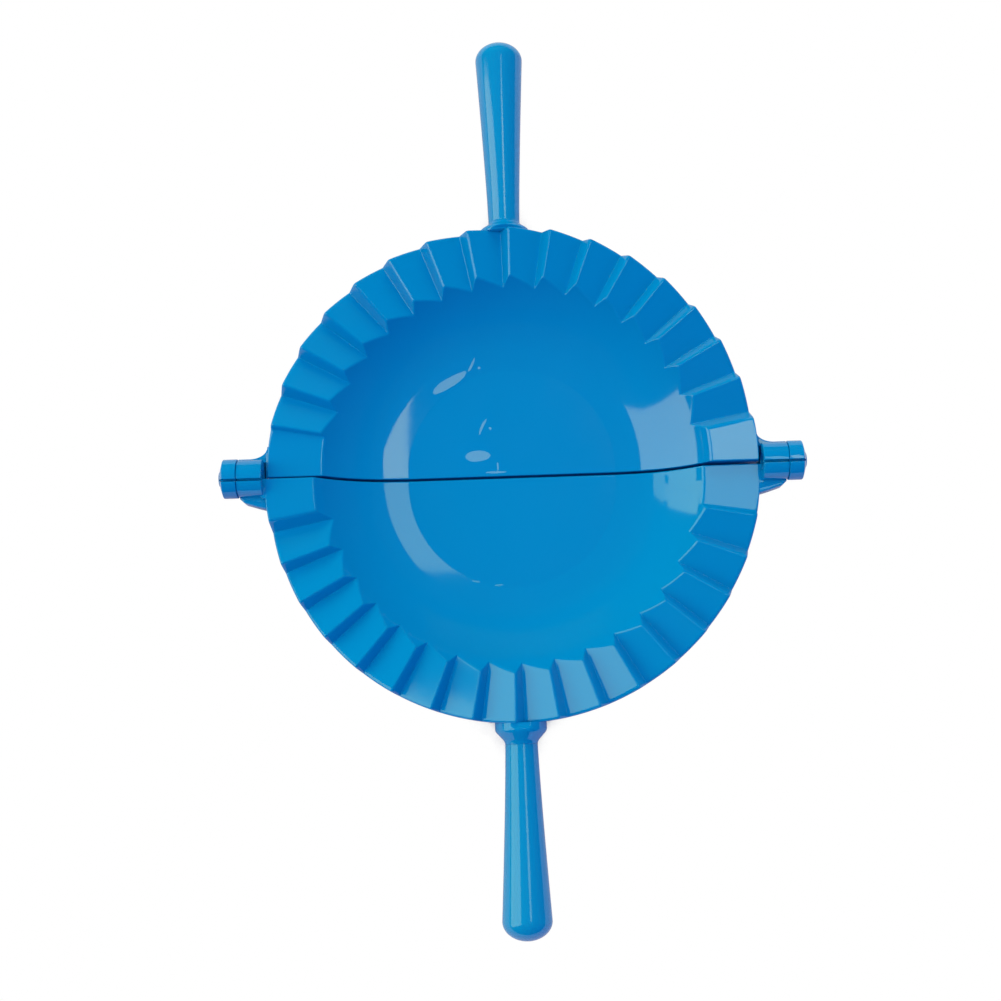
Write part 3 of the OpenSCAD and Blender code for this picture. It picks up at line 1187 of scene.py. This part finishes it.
@dataclass
class UpperArm:
    """The arm that carries an outer knuckle: it leaves the upper rim in a fillet, passes under
    the inner knuckle in a hollow and ends under the outer one.

    Args:
        end: Which end of the hinge it is at.
        root: Where it starts inside the rim.
        rim: Radius of the rim.
        hollow_start: Where the hollow starts.
        cap_start: Where the outer knuckle starts.
        cap_stop: Where the arm stops under the outer knuckle.
        reach: Distance from the hinge axis to its far side.
        fillet: Width of the fillet at the rim.
        fillet_length: Length of the fillet along the hinge axis.
        top: Depth of its top.
        bottom: Depth of its bottom.
        hollow: Radius of the hollow.
        seam: Distance from the hinge axis to its near side.
        edge: Radius of its rounded top edge.
        foot_edge: Radius of its rounded bottom edge.
        overlap: How far the hollow runs on under the outer knuckle.
        cap_reach: Distance from the hinge axis to its far side under the outer knuckle.
    """

    end: End
    root: float = 70.0
    rim: float = 75.0
    hollow_start: float = 75.49
    cap_start: float = 83.7
    cap_stop: float = 87.2
    reach: float = 6.5
    fillet: float = 3.6
    fillet_length: float = 5.5
    top: float = 2.5
    bottom: float = 8.35
    hollow: float = 5.95
    seam: float = 0.4
    edge: float = 0.45
    foot_edge: float = 0.6
    overlap: float = 0.22
    cap_reach: float = 5.1

    def far_side(self, station: np.ndarray) -> np.ndarray:
        """Distance of the far side from the hinge axis: a quarter ellipse, then straight."""
        left = np.clip((self.rim + self.fillet_length - station) / self.fillet_length, 0.0, 1.0)
        return self.reach + self.fillet * (1 - np.sqrt(1 - left ** 2))

    def root_block(self) -> Surface:
        """The part at the rim, as a block over the arm's outline.

        Returns:
            Points and faces.
        """
        station = self.rim + (self.hollow_start - self.rim) * np.linspace(0.0, 1.0, 5)
        far = np.stack([station, self.far_side(station)], axis=1)[::-1]
        near = self.seam + HAIR
        outline = np.concatenate([
            [[self.root, near], [self.hollow_start, near]], far,
            [[self.root, self.reach + self.fillet + 0.02]],
        ])
        return prism(outline, -self.bottom + HAIR, -self.top, 0.05)

    def tray(self) -> Surface:
        """The part with the hollow, as one cross-section carried along the hinge axis.

        Returns:
            Points and faces. The section goes along the bottom, up the far side, over its
            rounded top edge and back down the hollow's arc.
        """
        fillet_end, stop = self.rim + self.fillet_length, self.cap_start + self.overlap
        station = np.concatenate([
            np.linspace(self.hollow_start - 0.02, fillet_end, 18),
            np.linspace(fillet_end, stop, 5)[1:],
        ])
        arc_start = math.asin(self.top / self.hollow) + 0.07
        arc = np.linspace(arc_start, math.acos(self.seam / self.hollow), 22)
        hollow = np.stack([self.hollow * np.cos(arc), -self.hollow * np.sin(arc)], axis=1)
        heel = [[self.seam, -self.bottom]]
        brink = hollow[0, 0]
        lip = rounded_corner([brink + 0.22, -self.top], [brink - 0.08, -self.top], hollow[0], 4)
        sections = []
        for far in self.far_side(station):
            foot = rounded_corner(
                [far - self.foot_edge, -self.bottom], [far, -self.bottom],
                [far, -self.bottom + self.foot_edge], 5,
            )
            ridge = rounded_corner(
                [far, -self.top - self.edge], [far, -self.top], [far - self.edge, -self.top], 6
            )
            sections.append(np.concatenate([heel, foot, ridge, lip[:-1], hollow]))
        section = np.stack(sections)
        rows, cols = section.shape[:2]
        along = np.broadcast_to(station[:, None, None], (rows, cols, 1))
        points = np.concatenate([along, section], axis=2)
        return points.reshape(-1, 3), capped_tube(rows, cols)

    def foot_block(self) -> Surface:
        """The part under the outer knuckle, as a block a hair inside the tray's faces.

        Returns:
            Points and faces.
        """
        near = self.seam + HAIR
        outline = rounded_outline(
            [[self.cap_start, near], [self.cap_stop, near],
             [self.cap_stop, self.cap_reach], [self.cap_start, self.cap_reach]],
            [0.1, 0.4, 0.9, 0.1],
        )
        return prism(outline, -self.bottom + HAIR, -1.0, 0.3)

    def surfaces(self) -> list[Surface]:
        """All parts of the arm, on its own end of the hinge."""
        parts = (self.root_block(), self.tray(), self.foot_block())
        return [mirrored(part, x=self.end.value) for part in parts]


@dataclass
class LowerEar:
    """The ear on the lower rim that carries an inner knuckle.

    Args:
        end: Which end of the hinge it is at.
        root: Where it starts inside the rim.
        rim: Radius of the rim.
        stop: Where it stops along the hinge axis.
        near: Distance of its outer corner from the hinge axis.
        shoulder: Where its end meets its slanting side, along the hinge axis and off it.
        middle: A point half way down that side.
        far: Distance of its root from the hinge axis.
        edge: Radius of its rounded top and bottom edges.
        web: Height of the web that closes the slot between rim and knuckle.
        web_start: Where the web starts along the hinge axis.
        web_stop: Where it stops.
        web_far: Distance of its far side from the hinge axis.
        web_edge: Radius of its rounded edges.
        top: Depth of its top.
        bottom: Depth of its bottom.
        seam: Distance from the hinge axis to its near side.
    """

    end: End
    root: float = 70.0
    rim: float = 75.0
    stop: float = 83.5
    near: float = 5.9
    shoulder: tuple[float, float] = (82.1, 7.2)
    middle: tuple[float, float] = (78.0, 8.5)
    far: float = 9.3
    edge: float = 0.6
    web: float = 0.0
    web_start: float = 73.6
    web_stop: float = 76.6
    web_far: float = 6.4
    web_edge: float = 0.12
    top: float = 1.6
    bottom: float = 8.35
    seam: float = 0.4

    def surface(self) -> Surface:
        """A block over the ear's outline, on the -Y side.

        Returns:
            Points and faces.
        """
        seam = self.seam + HAIR
        outline = rounded_outline(
            [[self.root, seam], [self.stop, seam], [self.stop, self.near], self.shoulder,
             self.middle, [self.rim, self.far], [self.root, self.far]],
            [0.1, 0.3, 0.25, 0.4, 0.8, 0.5, 0.1],
        )
        block = prism(outline, -self.bottom, -self.top, self.edge)
        return mirrored(block, x=self.end.value, y=-1.0)

    def slot_web(self) -> Surface:
        """The web between rim and knuckle, level with the rim's end pad.

        Returns:
            Points and faces.
        """
        seam = self.seam + 2 * HAIR
        outline = rounded_outline(
            [[self.web_start, seam], [self.web_stop, seam],
             [self.web_stop, self.web_far], [self.web_start, self.web_far]],
            [0.1, 0.1, 0.8, 0.1],
        )
        block = prism(outline, -self.bottom + HAIR, self.web, self.web_edge)
        return mirrored(block, x=self.end.value, y=-1.0)


@dataclass
class HingePin:
    """A pin pressed into an outer knuckle and running in the inner one.

    Args:
        end: Which end of the hinge it is at.
        start: Where it starts along the hinge axis.
        stop: Where it stops.
        radius: Its radius.
        chamfer: Length and depth of the chamfer at its start.
        nose: Length and depth of the cone at its end.
        dome: How far the middle of its end stands out.
        rounding: How far the rounding of each corner of its outline reaches.
    """

    end: End
    start: float = 76.5
    stop: float = 89.4
    radius: float = 2.6
    chamfer: tuple[float, float] = (0.4, 0.3)
    nose: tuple[float, float] = (0.45, 0.5)
    dome: float = 0.1
    rounding: tuple[float, ...] = (0.0, 0.15, 0.15, 0.2, 0.3, 0.0)

    def build(self) -> bpy.types.Object:
        """Makes the pin, in place of its CAD node.

        Returns:
            The object.
        """
        chamfer_run, chamfer_fall = self.chamfer
        nose_run, nose_fall = self.nose
        corners = [
            [self.start, 0.0], [self.start, self.radius - chamfer_fall],
            [self.start + chamfer_run, self.radius], [self.stop - nose_run, self.radius],
            [self.stop - self.dome, self.radius - nose_fall], [self.stop, 0.0],
        ]
        outline = rounded_outline(corners, self.rounding, 6)

        def place(along: np.ndarray, across: np.ndarray, up: np.ndarray) -> np.ndarray:
            """Puts the pin on the hinge axis."""
            return np.stack([along * self.end.value, across, up], axis=-1)

        node = self.end.name.lower() + "_hinge_pin"
        surface = revolved(outline[:, 0], outline[:, 1], full_turn(64), place)
        made = piece(node + "_turned", [surface], Half.UPPER, PIN_PLASTIC)
        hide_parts(node)
        return made


# The two halves


@dataclass
class PressHalf:
    """What both halves have: shell, collar and handle, with a hinge part at each end.

    Args:
        rim: The rim's wall.
        seat: The collar.
        boss_radius: Radius of the boss under the rim.
    """

    rim: Rim
    seat: HandleSeat
    boss_radius: float = 7.85

    def hinge_end(self, end: End, shell: BowlShell) -> list[bpy.types.Object]:
        """Makes the pieces at one end of the hinge.

        Args:
            end: The end.
            shell: The half's shell.

        Returns:
            The pieces.
        """
        raise NotImplementedError

    def build(self) -> list[bpy.types.Object]:
        """Makes every piece of the half.

        Returns:
            The pieces.
        """
        half, side, shell = self.rim.half, self.rim.half.name.lower(), BowlShell(self.rim)
        bowl = piece(side + "_bowl", [shell.surface()], half, SHELL_PLASTIC)
        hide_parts(side + "_shell")
        boss = shell.boss(self.boss_radius, self.seat.drop)
        collar = piece(side + "_collar", [self.seat.surface(), boss], half, SHELL_PLASTIC)
        ends = [made for end in End for made in self.hinge_end(end, shell)]
        return [bowl, collar, *ends, ClubHandle(self.seat).build()]


@dataclass
class UpperHalf(PressHalf):
    """The half with the outer knuckles, which also carries both pins."""

    rim: Rim = UPPER_RIM
    seat: HandleSeat = field(default_factory=lambda: HandleSeat(
        UPPER_RIM, collar_end=77.9, cone_end=79.9,
        relief_end=77.1, relief_run=1.2, relief_depth=1.3,
    ))

    def hinge_end(self, end: End, shell: BowlShell) -> list[bpy.types.Object]:
        """Makes an outer knuckle, its arm and its pin.

        Args:
            end: The end of the hinge.
            shell: The half's shell.

        Returns:
            The pieces.
        """
        side = end.name.lower()
        cap = Knuckle(
            end, start=83.6, stop=88.8, radius=5.99,
            taper=0.9, groove_turn=GROOVE_TURN[end], bore=2.5,
        )
        knuckle = piece(side + "_outer_knuckle", [cap.surface()], Half.UPPER, SHELL_PLASTIC)
        arm = piece(side + "_upper_arm", UpperArm(end).surfaces(), Half.UPPER, SHELL_PLASTIC)
        return [knuckle, arm, HingePin(end).build()]


@dataclass
class LowerHalf(PressHalf):
    """The half with the inner knuckles.

    Args:
        web_drop: How far the ears' webs lie under the end pads.
    """

    rim: Rim = LOWER_RIM
    seat: HandleSeat = field(default_factory=lambda: HandleSeat(LOWER_RIM))
    web_drop: float = 0.04

    def hinge_end(self, end: End, shell: BowlShell) -> list[bpy.types.Object]:
        """Makes an inner knuckle and its ear, whose web lies just under the end pad.

        Args:
            end: The end of the hinge.
            shell: The half's shell.

        Returns:
            The pieces.
        """
        side = end.name.lower()
        block = Knuckle(end, start=75.9, stop=83.5, radius=5.6, groove_turn=GROOVE_TURN[end])
        knuckle = piece(side + "_inner_knuckle", [block.surface()], Half.LOWER, SHELL_PLASTIC)
        pad = shell.crimps.high_pad if end is End.LEFT else shell.crimps.low_pad
        form = LowerEar(end, web=pad - self.web_drop)
        parts = [form.surface(), form.slot_web()]
        return [knuckle, piece(side + "_lower_ear", parts, Half.LOWER, SHELL_PLASTIC)]


# Studio


class Facing(Enum):
    """Where a lamp faces: along an axis, or the middle of the press."""

    RIGHT = (1.0, 0.0, 0.0)
    DOWN = (0.0, 0.0, -1.0)
    PRESS = (0.0, 0.0, 0.0)


@dataclass(frozen=True)
class SoftBox:
    """A rectangular lamp.

    Args:
        name: Name of the lamp.
        place: Where its middle is, in metres.
        size: Its width and height.
        power: Its power in watts.
        colour: Colour of its light.
        facing: Where it faces.
        lean: How far its top leans to its right, in degrees.
        half: The only half of the press that it lights and is mirrored in. A lamp without
            one lights everything and is mirrored in nothing.
    """

    name: str
    place: tuple[float, float, float]
    size: tuple[float, float]
    power: float
    colour: tuple[float, float, float]
    facing: Facing = Facing.PRESS
    lean: float = 0.0
    half: Half | None = None

    def build(self) -> bpy.types.Object:
        """Hangs the lamp in the scene.

        Returns:
            The lamp.
        """
        data = bpy.data.lights.new(self.name, "AREA")
        data.shape = "RECTANGLE"
        data.size, data.size_y = self.size
        data.energy = self.power
        data.color = self.colour
        lamp = bpy.data.objects.new(self.name, data)
        lamp.visible_glossy = self.half is not None
        if self.half:
            lamp.light_linking.receiver_collection = lit_pieces(self.half)
        bpy.context.scene.collection.objects.link(lamp)
        lamp.location = self.place
        lamp.rotation_mode = "QUATERNION"
        ahead = Vector(self.facing.value)
        if self.facing is Facing.PRESS:
            ahead -= Vector(self.place)
        turn = Quaternion((0.0, 0.0, 1.0), math.radians(self.lean))
        lamp.rotation_quaternion = ahead.to_track_quat("-Z", "Y") @ turn
        return lamp


@dataclass
class Studio:
    """The pale floor, the lamps, the world and the camera.

    Args:
        camera_place: Where the camera is, in metres.
        camera_turn: Its rotation, in radians about X, Y and Z.
        lens: Its focal length, for a sensor 36 mm wide.
        lamps: The soft boxes: windows at the left and lamps overhead, a set for each half,
            and fills for both.
        air: Colour of the world.
        air_strength: Brightness of the world.
        floor_reach: Half the width of the floor, in metres.
        floor_drop: How far the floor lies under the press, in metres.
        paper: Colour of the floor in the open.
        painted_seam_shade: A painted shade: the floor's dark blue where the press all but covers it.
    """

    camera_place: tuple[float, float, float] = (-0.0000458, -0.08178, 0.4951)
    camera_turn: tuple[float, float, float] = (0.1497, 0.01287, -0.03212)
    lens: float = 57.40
    lamps: tuple[SoftBox, ...] = (
        SoftBox("upper_window", (-1.0, 0.235, 1.60), (0.70, 2.95), 19.0,
                (0.9, 1.0, 0.5), Facing.RIGHT, lean=5.0, half=Half.UPPER),
        SoftBox("lower_window", (-1.0, -0.20, 1.02), (0.84, 1.72), 12.5,
                (0.66, 1.0, 0.45), Facing.RIGHT, half=Half.LOWER),
        SoftBox("lower_sill", (-1.0, 0.32, 0.46), (0.2, 0.8), 1.3,
                (0.7, 1.0, 0.4), Facing.RIGHT, half=Half.LOWER),
        SoftBox("lower_pane", (-1.0, 0.32, 1.3), (0.2, 0.6), 0.8,
                (0.65, 1.0, 0.4), Facing.RIGHT, half=Half.LOWER),
        SoftBox("lower_crossbar", (-1.0, 0.33, 0.93), (0.12, 0.14), 0.13,
                (0.7, 1.0, 0.4), Facing.RIGHT, half=Half.LOWER),
        SoftBox("upper_top_lamp", (0.62, 0.607, 3.0), (0.60, 0.90), 6.8,
                (0.9, 1.0, 0.4), Facing.DOWN, lean=27.0, half=Half.UPPER),
        SoftBox("lower_top_lamp", (0.71, 0.39, 3.0), (0.56, 1.24), 5.7,
                (0.75, 1.0, 0.4), Facing.DOWN, lean=32.0, half=Half.LOWER),
        SoftBox("far_fill", (0.0, 1.5, 0.6), (1.5, 1.0), 15.2, (1.0, 1.0, 0.7)),
        SoftBox("right_fill", (1.5, 0.0, 0.6), (1.5, 1.0), 5.6, (0.8, 0.7, 1.0)),
        SoftBox("left_fill", (-1.5, 0.0, 0.6), (1.5, 1.0), 4.7, (0.6, 0.4, 1.0)),
        SoftBox("near_fill", (0.0, -1.5, 0.6), (1.5, 1.0), 4.1, (0.6, 0.35, 1.0)),
        SoftBox("fill_lamp", (0.0, 0.0, 2.2), (3.0, 3.0), 38.0, (0.8, 0.76, 1.0)),
    )
    air: tuple[float, float, float] = (0.25, 0.8, 1.0)
    air_strength: float = 0.05
    floor_reach: float = 3.0
    floor_drop: float = 0.0002
    paper: tuple[float, float, float] = (0.78, 0.78, 0.78)
    painted_seam_shade: tuple[float, float, float] = (0.0, 0.11, 0.34)

    def floor_paper(self) -> bpy.types.Material:
        """The floor's material, which shows white to the camera and keeps a faint shadow.

        Paper that the press all but covers, as under the seam, is painted dark blue by ambient
        occlusion: a painted shade, tinted like the light that comes down through the plastic. There its
        glow stops too, a painted contact shade. Mirrored in the plastic, the paper's glow dims towards
        the press over a wider band, also by ambient occlusion: painted shade in the reflection.

        Returns:
            The material.
        """
        paper = bpy.data.materials.new("floor_paper")
        paper.use_nodes = True
        tree = paper.node_tree
        node, link, sums = tree.nodes.new, tree.links.new, partial(math_node, tree)
        tree.nodes.clear()

        def openness(reach: float, start: float, end: float, most: float) -> Socket:
            """Adds the nodes that tell how open the floor is to the air.

            Args:
                reach: Distance within which the press covers it, in metres.
                start: Openness that becomes 0.
                end: Openness that becomes most.
                most: The largest result.

            Returns:
                The stretched openness.
            """
            gap = node("ShaderNodeAmbientOcclusion")
            gap.samples = 16
            gap.inputs["Distance"].default_value = reach
            return stretched(tree, gap.outputs["AO"], start, end, most)

        rays = node("ShaderNodeLightPath").outputs
        bounced = sums("MAXIMUM", rays["Is Glossy Ray"], rays["Is Transmission Ray"])
        # Painted shade: ambient occlusion stops the paper's glow next to and under the press, and dims
        # its mirrored glow towards the press.
        seen = sums("MULTIPLY", rays["Is Camera Ray"], openness(0.02, 0.32, 0.45, 1.0))
        in_gloss = sums("MULTIPLY", bounced, openness(0.12, 0.6, 1.0, 0.5))
        # Painted shade: where the press all but covers the paper, ambient occlusion turns its colour to
        # the dark blue of painted_seam_shade.
        tone = node("ShaderNodeMixRGB")
        tone.inputs["Color1"].default_value = (*self.painted_seam_shade, 1.0)
        tone.inputs["Color2"].default_value = (*self.paper, 1.0)
        link(openness(0.02, 0.32, 0.45, 1.0), tone.inputs["Fac"])
        diffuse = node("ShaderNodeBsdfDiffuse")
        link(tone.outputs["Color"], diffuse.inputs["Color"])
        glow = node("ShaderNodeEmission")
        glow.inputs["Strength"].default_value = 1.0
        mix = node("ShaderNodeMixShader")
        link(sums("ADD", seen, in_gloss), mix.inputs["Fac"])
        link(diffuse.outputs[0], mix.inputs[1])
        link(glow.outputs[0], mix.inputs[2])
        link(mix.outputs[0], node("ShaderNodeOutputMaterial").inputs["Surface"])
        return paper

    def floor(self) -> bpy.types.Object:
        """The floor: a wide sheet just under the press.

        Returns:
            The sheet.
        """
        far, low = self.floor_reach, -self.floor_drop
        corners = [(-far, -far, low), (far, -far, low), (far, far, low), (-far, far, low)]
        mesh = bpy.data.meshes.new("floor")
        mesh.from_pydata(corners, [], [(0, 1, 2, 3)])
        sheet = bpy.data.objects.new("floor", mesh)
        bpy.context.scene.collection.objects.link(sheet)
        mesh.materials.append(self.floor_paper())
        sheet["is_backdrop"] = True
        return sheet

    def world(self) -> None:
        """The world: an even, faintly blue light."""
        world = bpy.data.worlds.new("studio_air")
        world.use_nodes = True
        back = world.node_tree.nodes["Background"]
        back.inputs["Color"].default_value = (*self.air, 1.0)
        back.inputs["Strength"].default_value = self.air_strength
        bpy.context.scene.world = world

    def camera(self) -> None:
        """The camera, above the press and leaning back a little."""
        data = bpy.data.cameras.new("camera")
        data.lens = self.lens
        data.sensor_width = 36.0
        data.clip_start = 0.01
        data.clip_end = 20.0
        seen_from = bpy.data.objects.new("camera", data)
        seen_from.location = self.camera_place
        seen_from.rotation_euler = self.camera_turn
        bpy.context.scene.collection.objects.link(seen_from)
        bpy.context.scene.camera = seen_from

    def build(self) -> None:
        """Sets the whole studio up."""
        bpy.context.scene.view_settings.view_transform = "Standard"
        self.camera()
        self.world()
        self.floor()
        for lamp in self.lamps:
            lamp.build()


def main() -> None:
    """Builds the press and its studio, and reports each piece."""
    logging.basicConfig(level=logging.INFO, format="%(name)s %(message)s")
    for half in (UpperHalf(), LowerHalf()):
        for made in half.build():
            LOG.info("%s: %d faces", made.name, len(made.data.polygons))
    studio = Studio()
    studio.build()
    LOG.info("studio: %d lamps", len(studio.lamps))
    made = [list(corner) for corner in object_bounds()]


if __name__ == "__main__":
    main()
